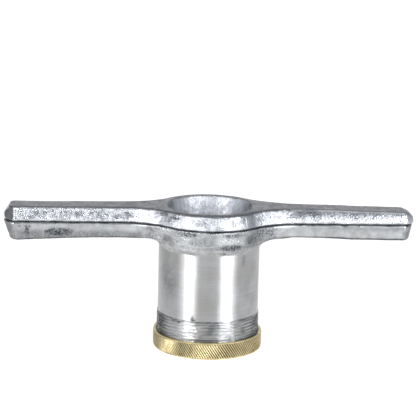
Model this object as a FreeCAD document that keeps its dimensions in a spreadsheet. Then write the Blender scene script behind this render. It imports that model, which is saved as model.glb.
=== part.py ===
import FreeCAD, Part
import math
import os
import Sketcher

# A hand press for string hoppers: a cast barrel and a cast plunger, each with two grips, and a
# ring nut that holds a perforated plate against the end of the barrel. Millimetres, +Z up. The
# origin is the middle of the ring's bottom face, the grips lie along X.

SIZES = {
    "barrel_diameter": 62.0,      # turned outside of the barrel
    "barrel_wall": 3.7,
    "barrel_length": 75.15,       # from the barrel's foot to the faces where the castings meet
    "thread_rise": 0.6,           # how far the thread's crest stands proud of the barrel
    "thread_pitch": 2.0,
    "thread_flank": 30.0,         # degrees between each flank and the level
    "thread_crest": 0.54,         # width of the thread's truncated crest
    "thread_root": 0.25,          # width of the groove's flat bottom
    "thread_length": 18.2,        # from the barrel's foot
    "thread_clearance": 0.3,      # radial, between ring and barrel
    "thread_backlash": 0.18,      # axial, on each flank
    "thread_overcut": 0.2,        # how far a thread's cutter starts outside the metal
    "thread_lead_in": 1.3,        # chamfer at the start of each thread
    "ring_wall": 1.8,             # outside the ring's thread
    "ring_height": 10.4,
    "ring_edge": 0.5,             # chamfer on the ring's outer edges
    "lip_thickness": 2.0,
    "lip_width": 4.35,            # from the ring's thread in to the opening
    "die_thickness": 2.0,
    "die_clearance": 0.5,         # radial, between plate and ring
    "die_margin": 0.5,            # solid edge between the lip's opening and the outermost holes
    "hole_diameter": 1.3,
    "hole_spacing": 3.6,
    "plunger_clearance": 0.25,    # radial, between plunger and bore
    "plunger_gap": 3.0,           # between the closed plunger and the plate
    "plunger_wall": 3.1,          # at the level where the castings meet
    "plunger_floor": 4.5,
    "cup_taper": 1.4,             # how much narrower the cup is at its floor, on the radius
    "cup_corner": 3.0,            # rounding between the cup's wall and its floor
    "rim_inset": 1.8,             # how much the rim is smaller than the collar, on the radius
    "rim_width": 5.9,             # top face between the cup's mouth and the rim's edge
    "collar_overhang": 3.0,       # collar beyond the barrel where the castings meet
    "grip_span": 252.6,           # from tip to tip of the upper grips
    "grip_width": 21.0,           # where the castings meet
    "upper_thickness": 9.45,
    "upper_draft": 1.3,           # how much the upper sides lean in over their height
    "upper_drop_left": 0.3,       # how far the top of the left grip falls towards its tip
    "upper_drop_right": 2.4,
    "lower_thickness": 9.55,
    "lower_draft": 1.0,           # how much the lower sides lean in over their height
    "lower_drop_left": 4.4,       # how far the underside of the left grip falls towards its tip
    "lower_drop_right": 0.9,
    "tip_step": 0.1,              # how much shorter the lower grips are
    "tip_lean_upper": 1.2,        # how much the upper tips lean in over their height
    "tip_lean_left": 3.4,         # how much the lower left tip leans in over its height
    "tip_lean_right": 2.3,
    "facet_run": 4.2,             # filed facet on the upper left tip, along the grip
    "facet_fall": 6.4,            # and down
    "tip_round": 5.5,             # filed round on the upper right tip, seen from the side
    "tip_curve": 11.6,            # radius of the tips, seen from above
    "collar_blend": 44.0,         # radius where collar and grips flow together
    "rim_blend": 38.0,            # radius where rim and grips flow together
    "undercut_radius": 9.2,       # hollow curve from the barrel out to the underside of the grips
    "undercut_start": 0.4,        # how deep that curve starts inside the barrel's outside
    "undercut_flat": 3.2,         # level ring beyond that curve, from which the grips fall away
    "undercut_margin": 0.4,       # how far outside that curve the cuts below the grips start
    "upper_edge": 1.2,            # rounding of the upper casting's top edges
    "lower_edge": 2.4,            # rounding of the lower casting's bottom edges
    "parting_edge": 0.7,          # rounding along the joint between the castings
    "mouth_edge": 0.8,            # rounding of the cup's mouth
    "bore_lead_in": 0.6,          # chamfer at the top of the bore
    "plunger_lead_in": 0.8,       # chamfer at the foot of the plunger
}

# Levels, measured up from the ring's bottom face.
DIE_TOP = "(dims.lip_thickness + dims.die_thickness)"
BARREL_FOOT = DIE_TOP
PARTING = f"({BARREL_FOOT} + dims.barrel_length)"
TOP = f"({PARTING} + dims.upper_thickness)"
GRIP_UNDERSIDE = f"({PARTING} - dims.lower_thickness)"
UNDERCUT_FOOT = f"({GRIP_UNDERSIDE} - dims.undercut_radius)"
THREAD_TOP = f"({BARREL_FOOT} + dims.thread_length)"
PLUNGER_FOOT = f"({DIE_TOP} + dims.plunger_gap)"
CUP_FLOOR = f"({PLUNGER_FOOT} + dims.plunger_floor)"

# Section of the thread, and of the groove in the ring that it runs in.
SLOPE = "tan(dims.thread_flank)"
THREAD_DEPTH = f"((dims.thread_pitch - dims.thread_crest - dims.thread_root) / (2 * {SLOPE}))"
RING_ROOT = f"(dims.thread_crest + 2 * dims.thread_backlash - 2 * dims.thread_clearance * {SLOPE})"

# Radii.
BARREL_R = "(dims.barrel_diameter / 2)"
BORE_R = f"({BARREL_R} - dims.barrel_wall)"
CREST_R = f"({BARREL_R} + dims.thread_rise)"
ROOT_R = f"({CREST_R} - {THREAD_DEPTH})"
RING_BORE_R = f"({ROOT_R} + dims.thread_clearance)"
RING_ROOT_R = f"({CREST_R} + dims.thread_clearance)"
RING_R = f"({RING_ROOT_R} + dims.ring_wall)"
OPENING_R = f"({RING_BORE_R} - dims.lip_width)"
DIE_R = f"({RING_BORE_R} - dims.die_clearance)"
PLUNGER_R = f"({BORE_R} - dims.plunger_clearance)"
COLLAR_R = f"({BARREL_R} + dims.collar_overhang)"
RIM_R = f"({COLLAR_R} - dims.rim_inset)"
MOUTH_R = f"({RIM_R} - dims.rim_width)"
THROAT_R = f"({PLUNGER_R} - dims.plunger_wall)"
CUP_FLOOR_R = f"({THROAT_R} - dims.cup_taper)"
CURVE_R = f"({BARREL_R} - dims.undercut_start)"
CURVE_OUT_R = f"({CURVE_R} + dims.undercut_radius)"
FLAT_R = f"({CURVE_OUT_R} + dims.undercut_flat)"
HALF_SPAN = "(dims.grip_span / 2)"
HALF_GRIP = "(dims.grip_width / 2)"
REACH = f"({HALF_SPAN} + dims.grip_width)"

# How a sketch numbers its origin, its axes and the points of a piece.
ORIGIN = (-1, 1)
X_AXIS = -1
Y_AXIS = -2
START, END, CENTRE = 1, 2, 3

# What counts as the same place, and as level: the rise of an edge for its length.
NEAR = 1e-3
LEVEL = 0.1

doc = FreeCAD.newDocument("sevai_maker")


def make_sheet():
    """Spreadsheet with one named cell for each driving size."""
    sheet = doc.addObject("Spreadsheet::Sheet", "dims")
    for row, (name, size) in enumerate(SIZES.items(), start=1):
        sheet.set(f"A{row}", name)
        sheet.set(f"B{row}", str(size))
        sheet.setAlias(f"B{row}", name)
    doc.recompute()
    return sheet


dims = make_sheet()


def value(formula):
    """The formula's size with the sheet as it stands."""
    return float(dims.evalExpression(formula))


def make_body(label):
    body = doc.addObject("PartDesign::Body", label)
    body.Label = label
    return body


def make_sketch(body, name, plane, height=None):
    """Empty sketch on one of the body's origin planes, raised by height where one is given."""
    sketch = body.newObject("Sketcher::SketchObject", name)
    support = next(part for part in body.Origin.OriginFeatures if part.Role == plane)
    sketch.AttachmentSupport = [(support, "")]
    sketch.MapMode = "FlatFace"
    if height:
        sketch.setExpression("AttachmentOffset.Base.z", height)
    return sketch


def add_dimension(sketch, name, formula, *constraint):
    """Dimension bound to a formula of the sheet."""
    kind, *places = constraint
    index = sketch.addConstraint(Sketcher.Constraint(kind, *places, value(formula)))
    sketch.renameConstraint(index, name)
    sketch.setExpression(f"Constraints.{name}", formula)


def arc_between(start, end, radius):
    """Arc of under half a turn that bulges to the right of the way from start to end.

    It runs anticlockwise from start to end, or from end to start for a negative radius.
    """
    chord = end - start
    left = FreeCAD.Vector(-chord.y, chord.x, 0).normalize()
    reach = math.sqrt(radius**2 - (chord.Length / 2) ** 2)
    centre = (start + end) / 2 + left * math.copysign(reach, radius)
    first, last = (start, end) if radius > 0 else (end, start)
    angles = [math.atan2(place.y - centre.y, place.x - centre.x) for place in (first, last)]
    circle = Part.Circle(centre, FreeCAD.Vector(0, 0, 1), abs(radius))
    return Part.ArcOfCircle(circle, *angles)


def add_profile(body, name, points):
    """Closed section in the XZ plane.

    Each point is (formula across, height formula), and a third formula after them is the radius
    of an arc that leads on to the next point, with a minus sign before it if the arc runs
    clockwise.
    """
    sketch = make_sketch(body, name, "XZ_Plane")
    places = [FreeCAD.Vector(value(point[0]), value(point[1]), 0) for point in points]
    ends = []
    for index, point in enumerate(points):
        start, end = places[index], places[(index + 1) % len(points)]
        bend = value("0" + point[2]) if len(point) == 3 else 0
        piece = arc_between(start, end, bend) if bend else Part.LineSegment(start, end)
        sketch.addGeometry(piece)
        ends.append((END, START) if bend < 0 else (START, END))
    for index, point in enumerate(points):
        following = (index + 1) % len(points)
        joint = (index, ends[index][1], following, ends[following][0])
        sketch.addConstraint(Sketcher.Constraint("Coincident", *joint))
        place_point(sketch, f"p{index}", index, ends[index][0], point)
        if len(point) == 3:
            add_dimension(sketch, f"arc{index}", point[2].lstrip("+-"), "Radius", index)
    return sketch


def place_point(sketch, name, index, end, point):
    """Dimensions that hold one end of a piece at its place across and its height."""
    for kind, axis, formula in (("DistanceX", Y_AXIS, point[0]), ("DistanceY", X_AXIS, point[1])):
        size = value(formula)
        if abs(size) < 1e-9:
            sketch.addConstraint(Sketcher.Constraint("PointOnObject", index, end, axis))
        elif size > 0:
            add_dimension(sketch, f"{name}_{kind}", formula, kind, *ORIGIN, index, end)
        else:
            add_dimension(sketch, f"{name}_{kind}", f"-{formula}", kind, index, end, *ORIGIN)


def add_outline(body, name, height, collar, half_grip, blend, tip_left, tip_right):
    """Plan outline of a casting: a round middle that flows into two straight grips."""
    sketch = make_sketch(body, name, "XY_Plane", height)
    round_r, half, flow = value(collar), value(half_grip), value(blend)
    curve = value("dims.tip_curve")
    flow_x = math.sqrt((round_r + flow) ** 2 - (half + flow) ** 2)
    touch = round_r / (round_r + flow)
    lean = math.degrees(math.acos((half + flow) / (round_r + flow)))
    corner_inset = curve - math.sqrt(curve**2 - half**2)
    tips = {1: value(tip_right), -1: value(tip_left)}
    up = FreeCAD.Vector(0, 0, 1)

    def arc(centre, radius, first, last):
        circle = Part.Circle(FreeCAD.Vector(*centre, 0), up, radius)
        return sketch.addGeometry(Part.ArcOfCircle(circle, math.radians(first), math.radians(last)))

    def tangent(piece, end, other, other_end):
        sketch.addConstraint(Sketcher.Constraint("Tangent", piece, end, other, other_end))

    rounds = {
        1: arc((0, 0), round_r, 90 - lean, 90 + lean),
        -1: arc((0, 0), round_r, 270 - lean, 270 + lean),
    }
    sketch.addConstraint(Sketcher.Constraint("Coincident", rounds[1], CENTRE, *ORIGIN))
    sketch.addConstraint(Sketcher.Constraint("Coincident", rounds[-1], CENTRE, *ORIGIN))
    add_dimension(sketch, "round_r", collar, "Radius", rounds[1])
    sketch.addConstraint(Sketcher.Constraint("Equal", rounds[1], rounds[-1]))

    ends = {}
    for side, tip in tips.items():
        middle = 0 if side == 1 else 180
        spread = math.degrees(math.asin(half / curve))
        ends[side] = arc((side * (tip - curve), 0), curve, middle - spread, middle + spread)
        sketch.addConstraint(Sketcher.Constraint("PointOnObject", ends[side], CENTRE, X_AXIS))
        add_dimension(sketch, f"tip_r_{middle}", "dims.tip_curve", "Radius", ends[side])
        reach = f"({tip_right if side == 1 else tip_left} - dims.tip_curve)"
        order = (*ORIGIN, ends[side], CENTRE) if side == 1 else (ends[side], CENTRE, *ORIGIN)
        add_dimension(sketch, f"tip_x_{middle}", reach, "DistanceX", *order)

    flows = []
    for side, tip in tips.items():
        for face in (1, -1):
            corner = (side * flow_x, face * (half + flow))
            inner = math.degrees(math.atan2(-corner[1] * (1 - touch), -corner[0] * (1 - touch)))
            outer = -90 * face
            first, last = (inner, outer) if side * face == 1 else (outer, inner)
            piece = arc(corner, flow, first, last)
            flows.append(piece)
            near = FreeCAD.Vector(side * flow_x, face * half, 0)
            far = FreeCAD.Vector(side * (tip - corner_inset), face * half, 0)
            grip = sketch.addGeometry(Part.LineSegment(near, far))
            sketch.addConstraint(Sketcher.Constraint("Horizontal", grip))
            width = (*ORIGIN, grip, START) if face == 1 else (grip, START, *ORIGIN)
            add_dimension(sketch, f"grip_{len(flows)}", half_grip, "DistanceY", *width)
            flow_inner, flow_outer = (START, END) if side * face == 1 else (END, START)
            round_end = START if side * face == 1 else END
            tip_end = END if side * face == 1 else START
            tangent(piece, flow_inner, rounds[face], round_end)
            tangent(piece, flow_outer, grip, START)
            sketch.addConstraint(Sketcher.Constraint("Coincident", grip, END, ends[side], tip_end))
    add_dimension(sketch, "flow_r", blend, "Radius", flows[0])
    for piece in flows[1:]:
        sketch.addConstraint(Sketcher.Constraint("Equal", flows[0], piece))
    return sketch


def add_revolved(body, kind, name, sketch):
    """Revolution or Groove of a full turn about the Z axis."""
    feature = body.newObject(f"PartDesign::{kind}", name)
    feature.Profile = sketch
    feature.ReferenceAxis = (sketch, ["V_Axis"])
    feature.Angle = 360.0
    return feature


def add_side_cut(body, name, points):
    """Cut of a section in the XZ plane through the whole width of the casting."""
    pocket = body.newObject("PartDesign::Pocket", name)
    pocket.Profile = add_profile(body, f"{name}_section", points)
    pocket.Type = "ThroughAll"
    pocket.SideType = "Symmetric"
    return pocket


def droop_radius(length, drop):
    """Radius of the arc that leaves the level and falls by drop over length."""
    return f"((({length}) ^ 2 + ({drop}) ^ 2) / (2 * {drop}))"


def add_loft(body, name, lower, upper):
    feature = body.newObject("PartDesign::AdditiveLoft", name)
    feature.Profile = lower
    feature.Sections = [upper]
    feature.Ruled = True
    return feature


def edge_names(shape, test):
    """Names of the edges whose midpoint and direction there pass the test."""
    names = []
    for index, edge in enumerate(shape.Edges, start=1):
        middle = (edge.FirstParameter + edge.LastParameter) / 2
        if test(edge.valueAt(middle), edge.tangentAt(middle), edge):
            names.append(f"Edge{index}")
    return names


def add_edge_feature(body, kind, name, size_formula, test):
    """Fillet or Chamfer on the edges of the body's tip that pass the test."""
    doc.recompute()
    base = body.Tip
    names = edge_names(base.Shape, test)
    if not names:
        raise RuntimeError(f"{body.Label}: no edge for {name}")
    feature = body.newObject(f"PartDesign::{kind}", name)
    feature.Base = (base, names)
    feature.setExpression("Radius" if kind == "Fillet" else "Size", size_formula)
    return feature


def is_round_about_axis(edge, radius):
    """Whether the edge is a circle of that radius about the Z axis."""
    curve = edge.Curve
    if not isinstance(curve, Part.Circle):
        return False
    off_axis = math.hypot(curve.Center.x, curve.Center.y)
    return off_axis < NEAR and abs(curve.Radius - radius) < NEAR


def add_thread(body, name, root, open_side, root_flat, first_turn, height):
    """Helical groove whose section is a truncated vee, open towards open_side.

    first_turn is the level of its middle where it starts, and height is how far it climbs.
    """
    half_flat = f"({root_flat} / 2)"
    half_mouth = f"({half_flat} + abs({open_side} - {root}) * {SLOPE})"
    sketch = add_profile(body, f"{name}_section", [
        (root, f"({first_turn} - {half_flat})"),
        (open_side, f"({first_turn} - {half_mouth})"),
        (open_side, f"({first_turn} + {half_mouth})"),
        (root, f"({first_turn} + {half_flat})"),
    ])
    helix = body.newObject("PartDesign::SubtractiveHelix", name)
    helix.Profile = sketch
    helix.ReferenceAxis = (sketch, ["V_Axis"])
    helix.HasBeenEdited = True
    helix.Mode = "pitch-height-angle"
    helix.setExpression("Pitch", "dims.thread_pitch")
    helix.setExpression("Height", height)
    helix.Angle = 0
    return helix


def make_barrel():
    """Lower casting: turned tube, collar, two grips and the outer thread."""
    body = make_body("barrel")
    add_lower_grips(body)
    tube = add_profile(body, "tube_section", [
        (BORE_R, BARREL_FOOT),
        (f"({CREST_R} - dims.thread_lead_in)", BARREL_FOOT),
        (CREST_R, f"({BARREL_FOOT} + dims.thread_lead_in)"),
        (CREST_R, THREAD_TOP),
        (BARREL_R, f"({THREAD_TOP} + dims.thread_rise)"),
        (BARREL_R, PARTING),
        (BORE_R, PARTING),
    ])
    add_revolved(body, "Revolution", "tube", tube)
    over = f"({PARTING} + dims.bore_lead_in)"
    under = f"({UNDERCUT_FOOT} - dims.bore_lead_in)"
    lead_in_r = f"({BORE_R} + dims.bore_lead_in)"
    bore = add_profile(body, "bore_section", [
        ("0", under),
        (BORE_R, under),
        (BORE_R, f"({PARTING} - dims.bore_lead_in)"),
        (lead_in_r, PARTING),
        (lead_in_r, over),
        ("0", over),
    ])
    add_revolved(body, "Groove", "bore", bore)
    add_edge_feature(body, "Fillet", "joint_edge", "dims.parting_edge", on_outline_at(PARTING))
    add_thread(
        body, "outer_thread", ROOT_R, f"({CREST_R} + dims.thread_overcut)", "dims.thread_root",
        first_turn=f"({BARREL_FOOT} - dims.thread_pitch)",
        height="(dims.thread_length + dims.thread_pitch / 2)",
    )
    return body


def add_lower_grips(body):
    """Collar and grips of the lower casting, hollowed out underneath towards the barrel."""
    tip = f"({HALF_SPAN} - dims.tip_step)"
    # The sides lean in further by the foot of the undercut than by the underside of the grips.
    deep = "((dims.lower_thickness + dims.undercut_radius) / dims.lower_thickness)"
    low = add_outline(
        body, "casting_low", UNDERCUT_FOOT,
        collar=f"({COLLAR_R} - dims.lower_draft * {deep})",
        half_grip=f"({HALF_GRIP} - dims.lower_draft * {deep})",
        blend="dims.collar_blend",
        tip_left=f"({tip} - dims.tip_lean_left * {deep})",
        tip_right=f"({tip} - dims.tip_lean_right * {deep})",
    )
    high = add_outline(
        body, "casting_high", PARTING, COLLAR_R, HALF_GRIP, "dims.collar_blend", tip, tip,
    )
    add_loft(body, "casting", low, high)

    below = f"({UNDERCUT_FOOT} - dims.undercut_radius)"
    undercut = add_profile(body, "undercut_section", [
        (CURVE_R, UNDERCUT_FOOT, "-dims.undercut_radius"),
        (CURVE_OUT_R, GRIP_UNDERSIDE),
        (FLAT_R, GRIP_UNDERSIDE),
        (FLAT_R, below),
        (CURVE_R, below),
    ])
    add_revolved(body, "Groove", "undercut", undercut)
    add_underside_cut(body, "right", "", "dims.lower_drop_right")
    add_underside_cut(body, "left", "-", "dims.lower_drop_left")
    add_edge_feature(body, "Fillet", "lower_edge", "dims.lower_edge", on_lower_edge())


def add_underside_cut(body, side, sign, drop):
    """Cut that leaves the underside of one grip falling in a shallow arc towards its tip."""
    inner = f"({sign}({CURVE_OUT_R} + dims.undercut_margin))"
    flat = f"({sign}{FLAT_R})"
    outer = f"({sign}{REACH})"
    below = f"({UNDERCUT_FOOT} - dims.undercut_radius)"
    radius = droop_radius(f"{REACH} - {FLAT_R}", drop)
    turn = "+" if sign else "-"
    add_side_cut(body, f"underside_{side}", [
        (inner, GRIP_UNDERSIDE),
        (flat, GRIP_UNDERSIDE, f"{turn}{radius}"),
        (outer, f"({GRIP_UNDERSIDE} - {drop})"),
        (outer, below),
        (inner, below),
    ])


def on_outline_at(height, fall="0"):
    """Test for the edges of a casting's plan outline at a height, or up to fall below it."""
    top = value(height) + NEAR
    bottom = value(height) - value(fall) - NEAR
    bore_edge = value(BORE_R) + value("dims.bore_lead_in") + NEAR
    side = value(HALF_GRIP) / 2
    tips = value(HALF_SPAN) - value(HALF_GRIP)

    def test(middle, direction, edge):
        level = bottom < middle.z < top and abs(direction.z) < LEVEL
        on_outline = abs(middle.y) > side or abs(middle.x) > tips
        return level and on_outline and math.hypot(middle.x, middle.y) > bore_edge
    return test


def on_lower_edge():
    """Test for the edges where the sides of the lower casting meet its underside."""
    top = value(GRIP_UNDERSIDE) + NEAR
    foot = value(UNDERCUT_FOOT) + NEAR
    barrel = value(BARREL_R)
    side = value(HALF_GRIP) / 2
    tips = value(HALF_SPAN) - value(HALF_GRIP)

    def test(middle, direction, edge):
        below = foot < middle.z < top and abs(direction.z) < 5 * LEVEL
        on_outline = abs(middle.y) > side or abs(middle.x) > tips
        return below and on_outline and math.hypot(middle.x, middle.y) > barrel
    return test


def make_plunger():
    """Upper casting: hollow cup that fits the bore, rim and two grips."""
    body = make_body("plunger")
    low = add_outline(
        body, "casting_low", PARTING, COLLAR_R, HALF_GRIP, "dims.collar_blend",
        HALF_SPAN, HALF_SPAN,
    )
    tip = f"({HALF_SPAN} - dims.tip_lean_upper)"
    high = add_outline(
        body, "casting_high", TOP, RIM_R, f"({HALF_GRIP} - dims.upper_draft)",
        "dims.rim_blend", tip, tip,
    )
    add_loft(body, "casting", low, high)
    add_top_cut(body)
    inside = f"({PARTING} + dims.parting_edge)"
    stem = add_profile(body, "stem_section", [
        ("0", PLUNGER_FOOT),
        (f"({PLUNGER_R} - dims.plunger_lead_in)", PLUNGER_FOOT),
        (PLUNGER_R, f"({PLUNGER_FOOT} + dims.plunger_lead_in)"),
        (PLUNGER_R, inside),
        ("0", inside),
    ])
    add_revolved(body, "Revolution", "stem", stem)
    over = f"({TOP} + dims.mouth_edge)"
    cup = add_profile(body, "cup_section", [
        ("0", CUP_FLOOR),
        (f"({CUP_FLOOR_R} - dims.cup_corner)", CUP_FLOOR, "+dims.cup_corner"),
        (CUP_FLOOR_R, f"({CUP_FLOOR} + dims.cup_corner)"),
        (THROAT_R, PARTING),
        (MOUTH_R, TOP),
        (MOUTH_R, over),
        ("0", over),
    ])
    add_revolved(body, "Groove", "cup", cup)
    mouth = value(MOUTH_R)
    add_edge_feature(
        body, "Fillet", "mouth_edge", "dims.mouth_edge",
        lambda middle, direction, edge: is_round_about_axis(edge, mouth),
    )
    upper = on_outline_at(TOP, "dims.upper_drop_right")
    add_edge_feature(body, "Fillet", "upper_edge", "dims.upper_edge", upper)
    add_edge_feature(body, "Fillet", "joint_edge", "dims.parting_edge", on_outline_at(PARTING))
    add_tip_round(body)
    return body


def add_tip_round(body):
    """Cut that rounds the upper right tip off, seen from the side."""
    over = f"({TOP} + dims.upper_thickness)"
    start = f"({HALF_SPAN} - dims.tip_round)"
    top = f"({TOP} - dims.upper_drop_right)"
    foot = f"({top} - dims.tip_round)"
    add_side_cut(body, "tip_round", [
        (start, top, "-dims.tip_round"),
        (HALF_SPAN, foot),
        (REACH, foot),
        (REACH, over),
        (start, over),
    ])


def add_top_cut(body):
    """Cuts above the upper casting: each grip falls to its tip, with a facet on the left."""
    over = f"({TOP} + dims.upper_thickness)"
    facet_x = f"({HALF_SPAN} - dims.facet_run)"
    facet_top = f"({TOP} - dims.upper_drop_left)"
    facet_foot = f"({facet_top} - dims.facet_fall * ({REACH} - {facet_x}) / dims.facet_run)"
    add_side_cut(body, "top_cut_right", [
        (FLAT_R, TOP),
        (REACH, f"({TOP} - dims.upper_drop_right)"),
        (REACH, over),
        (FLAT_R, over),
    ])
    add_side_cut(body, "top_cut_left", [
        (f"(-{FLAT_R})", TOP),
        (f"(-{FLAT_R})", over),
        (f"(-{REACH})", over),
        (f"(-{REACH})", facet_foot),
        (f"(-{facet_x})", facet_top),
    ])


def make_retaining_ring():
    """Ring nut with an inward lip that carries the plate."""
    body = make_body("retaining_ring")
    section = add_profile(body, "ring_section", [
        (OPENING_R, "0"),
        (f"({RING_R} - dims.ring_edge)", "0"),
        (RING_R, "dims.ring_edge"),
        (RING_R, "(dims.ring_height - dims.ring_edge)"),
        (f"({RING_R} - dims.ring_edge)", "dims.ring_height"),
        (f"({RING_BORE_R} + dims.ring_edge)", "dims.ring_height"),
        (RING_BORE_R, "(dims.ring_height - dims.ring_edge)"),
        (RING_BORE_R, "dims.lip_thickness"),
        (OPENING_R, "dims.lip_thickness"),
    ])
    add_revolved(body, "Revolution", "ring", section)
    first_turn = f"({BARREL_FOOT} - dims.thread_pitch / 2)"
    add_thread(
        body, "inner_thread", RING_ROOT_R, f"({RING_BORE_R} - dims.thread_overcut)", RING_ROOT,
        first_turn=first_turn,
        height=f"(dims.ring_height + dims.thread_pitch - {first_turn})",
    )
    return body


def make_die_plate():
    """Disc with rings of round holes, six more in each ring than in the one inside it."""
    body = make_body("die_plate")
    disc = make_sketch(body, "disc_section", "XY_Plane", "dims.lip_thickness")
    add_circle(disc, DIE_R)
    pad = body.newObject("PartDesign::Pad", "disc")
    pad.Profile = disc
    pad.setExpression("Length", "dims.die_thickness")
    add_hole(body, "hole_0", "0")
    hole_room = value(f"({OPENING_R} - dims.die_margin - dims.hole_diameter / 2)")
    for ring in range(1, int(hole_room / value("dims.hole_spacing")) + 1):
        hole = add_hole(body, f"hole_{ring}", f"({ring} * dims.hole_spacing)")
        pattern = body.newObject("PartDesign::PolarPattern", f"holes_{ring}")
        pattern.Originals = [hole]
        pattern.Axis = (hole.Profile[0], ["N_Axis"])
        pattern.Angle = 360
        pattern.Occurrences = 6 * ring
        body.Tip = pattern
    return body


def add_circle(sketch, radius, distance="0"):
    """Circle of that radius, on the X axis at a distance from the origin."""
    place = FreeCAD.Vector(value(distance), 0, 0)
    up = FreeCAD.Vector(0, 0, 1)
    circle = sketch.addGeometry(Part.Circle(place, up, value(radius)))
    add_dimension(sketch, "radius", radius, "Radius", circle)
    if distance == "0":
        sketch.addConstraint(Sketcher.Constraint("Coincident", circle, CENTRE, *ORIGIN))
    else:
        sketch.addConstraint(Sketcher.Constraint("PointOnObject", circle, CENTRE, X_AXIS))
        add_dimension(sketch, "distance", distance, "DistanceX", *ORIGIN, circle, CENTRE)


def add_hole(body, name, distance):
    """Round hole through the plate at a distance from its middle."""
    sketch = make_sketch(body, f"{name}_section", "XY_Plane", DIE_TOP)
    add_circle(sketch, "(dims.hole_diameter / 2)", distance)
    hole = body.newObject("PartDesign::Pocket", name)
    hole.Profile = sketch
    hole.Type = "ThroughAll"
    return hole


def check_document():
    """Stop at any object that failed, and at any null or invalid body."""
    for item in doc.Objects:
        if "Invalid" in item.State or "Error" in item.State:
            raise RuntimeError(f"{item.Label} failed: {item.State} {item.getStatusString()}")
    for body in bodies():
        if body.Shape.isNull() or not body.Shape.isValid():
            raise RuntimeError(f"{body.Label} has no valid shape")


def bodies():
    return [item for item in doc.Objects if item.TypeId == "PartDesign::Body"]


def main():
    make_barrel()
    make_plunger()
    make_retaining_ring()
    make_die_plate()
    doc.recompute()
    check_document()
    os.makedirs("parts", exist_ok=True)
    for body in bodies():
        body.Shape.exportStep(f"parts/{body.Label}.step")


main()
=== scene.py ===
import math

import bmesh
import bpy
import numpy as np
from mathutils import Matrix, Vector
from mathutils.kdtree import KDTree


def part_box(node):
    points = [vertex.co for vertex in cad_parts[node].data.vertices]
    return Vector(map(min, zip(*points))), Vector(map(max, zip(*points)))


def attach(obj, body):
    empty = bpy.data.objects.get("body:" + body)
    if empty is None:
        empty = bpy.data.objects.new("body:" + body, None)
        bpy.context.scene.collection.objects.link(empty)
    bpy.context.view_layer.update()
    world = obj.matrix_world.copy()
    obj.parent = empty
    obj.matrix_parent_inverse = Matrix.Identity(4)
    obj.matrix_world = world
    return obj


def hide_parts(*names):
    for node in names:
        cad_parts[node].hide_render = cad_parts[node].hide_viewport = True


# A string-hopper press: two rough aluminium castings, a knurled brass ring and a brass plate.
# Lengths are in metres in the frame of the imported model: the press stands on z = 0 with its
# grips along X, and the camera looks along +Y.

MM = 0.001

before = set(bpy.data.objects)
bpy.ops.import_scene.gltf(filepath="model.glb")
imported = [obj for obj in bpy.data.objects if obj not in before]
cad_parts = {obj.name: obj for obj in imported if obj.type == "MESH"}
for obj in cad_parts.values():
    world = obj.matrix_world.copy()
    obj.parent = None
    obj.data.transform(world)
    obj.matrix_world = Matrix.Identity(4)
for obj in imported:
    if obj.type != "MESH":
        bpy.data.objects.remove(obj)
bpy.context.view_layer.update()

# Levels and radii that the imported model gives.
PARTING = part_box("barrel")[1].z
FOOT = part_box("barrel")[0].z
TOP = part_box("plunger")[1].z
STEM_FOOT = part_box("plunger")[0].z
RING_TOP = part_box("retaining_ring")[1].z
RING_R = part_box("retaining_ring")[1].x

# Sizes of the turned surfaces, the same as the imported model's.
BARREL_R = 31.0 * MM
BORE_R = 27.3 * MM
STEM_R = 27.05 * MM  # the plunger's part that slides in the bore
CREST_R = 31.6 * MM
ROOT_R = 30.552 * MM
THREAD_PITCH = 2.0 * MM
THREAD_ROOT = 0.25 * MM  # flat at the bottom of the thread
THREAD_TOP = FOOT + 18.2 * MM
THREAD_LEAD = 1.3 * MM  # chamfer where the thread starts
LEAD_IN = 0.6 * MM  # chamfer inside the barrel's foot
RING_ROOT_R = 31.9 * MM
OPENING_R = 26.502 * MM
LIP = 2.0 * MM  # thickness of the ring's lip, on which the plate lies
EDGE = 0.5 * MM  # chamfer round the ring's foot
FLANK = math.tan(math.radians(30))


# Camera, floor, backdrop and light


# The photograph's viewpoint: place, then heading, downward tilt and roll in degrees.
CAMERA_PLACE = (-0.0588, -0.9510, 0.3023)
CAMERA_ANGLES = (3.46, 12.76, 1.39)
FOCAL_PIXELS = 1596.5
FRAME_PIXELS = 416
SENSOR = 36.0

# Softboxes: side, degrees right of the front, width and colour. Each has a strong low part and a
# weak high part: name, bottom, top and radiance.
SOFTBOXES = (("left", -49, 1.03, (1.0, 0.99, 0.98)), ("right", 42, 1.0, (0.98, 0.99, 1.0)))
SOFTBOX_PARTS = (("low", 0.0, 0.20, 15.5), ("high", 0.20, 0.65, 2.5))
SOFTBOX_DISTANCE = 1.1

WHITE = (1, 1, 1, 1)
STUDIO_GREY = (0.90, 0.95, 1.0, 1)
STUDIO_STRENGTH = 0.24
PAPER = (0.94, 0.92, 0.87, 1)
FLOOR_HALF = 6.0
FLOOR_IN_METAL = 0.55  # how much brighter the metal sees the floor


def make_camera():
    """Camera at the photograph's viewpoint."""
    heading, tilt, roll = (math.radians(angle) for angle in CAMERA_ANGLES)
    x, y, z = CAMERA_PLACE
    data = bpy.data.cameras.new("camera")
    data.sensor_width = SENSOR
    data.lens = SENSOR * FOCAL_PIXELS / FRAME_PIXELS
    data.clip_end = 50
    camera = bpy.data.objects.new("camera", data)
    forward = Vector((
        math.sin(heading) * math.cos(tilt), math.cos(heading) * math.cos(tilt), -math.sin(tilt),
    ))
    level = Vector((math.cos(heading), -math.sin(heading), 0))
    upright = level.cross(forward)
    right = level * math.cos(roll) + upright * math.sin(roll)
    up = right.cross(forward)
    camera.matrix_world = Matrix((
        (right.x, up.x, -forward.x, x),
        (right.y, up.y, -forward.y, y),
        (right.z, up.z, -forward.z, z),
        (0, 0, 0, 1),
    ))
    bpy.context.scene.collection.objects.link(camera)
    bpy.context.scene.camera = camera


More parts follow.
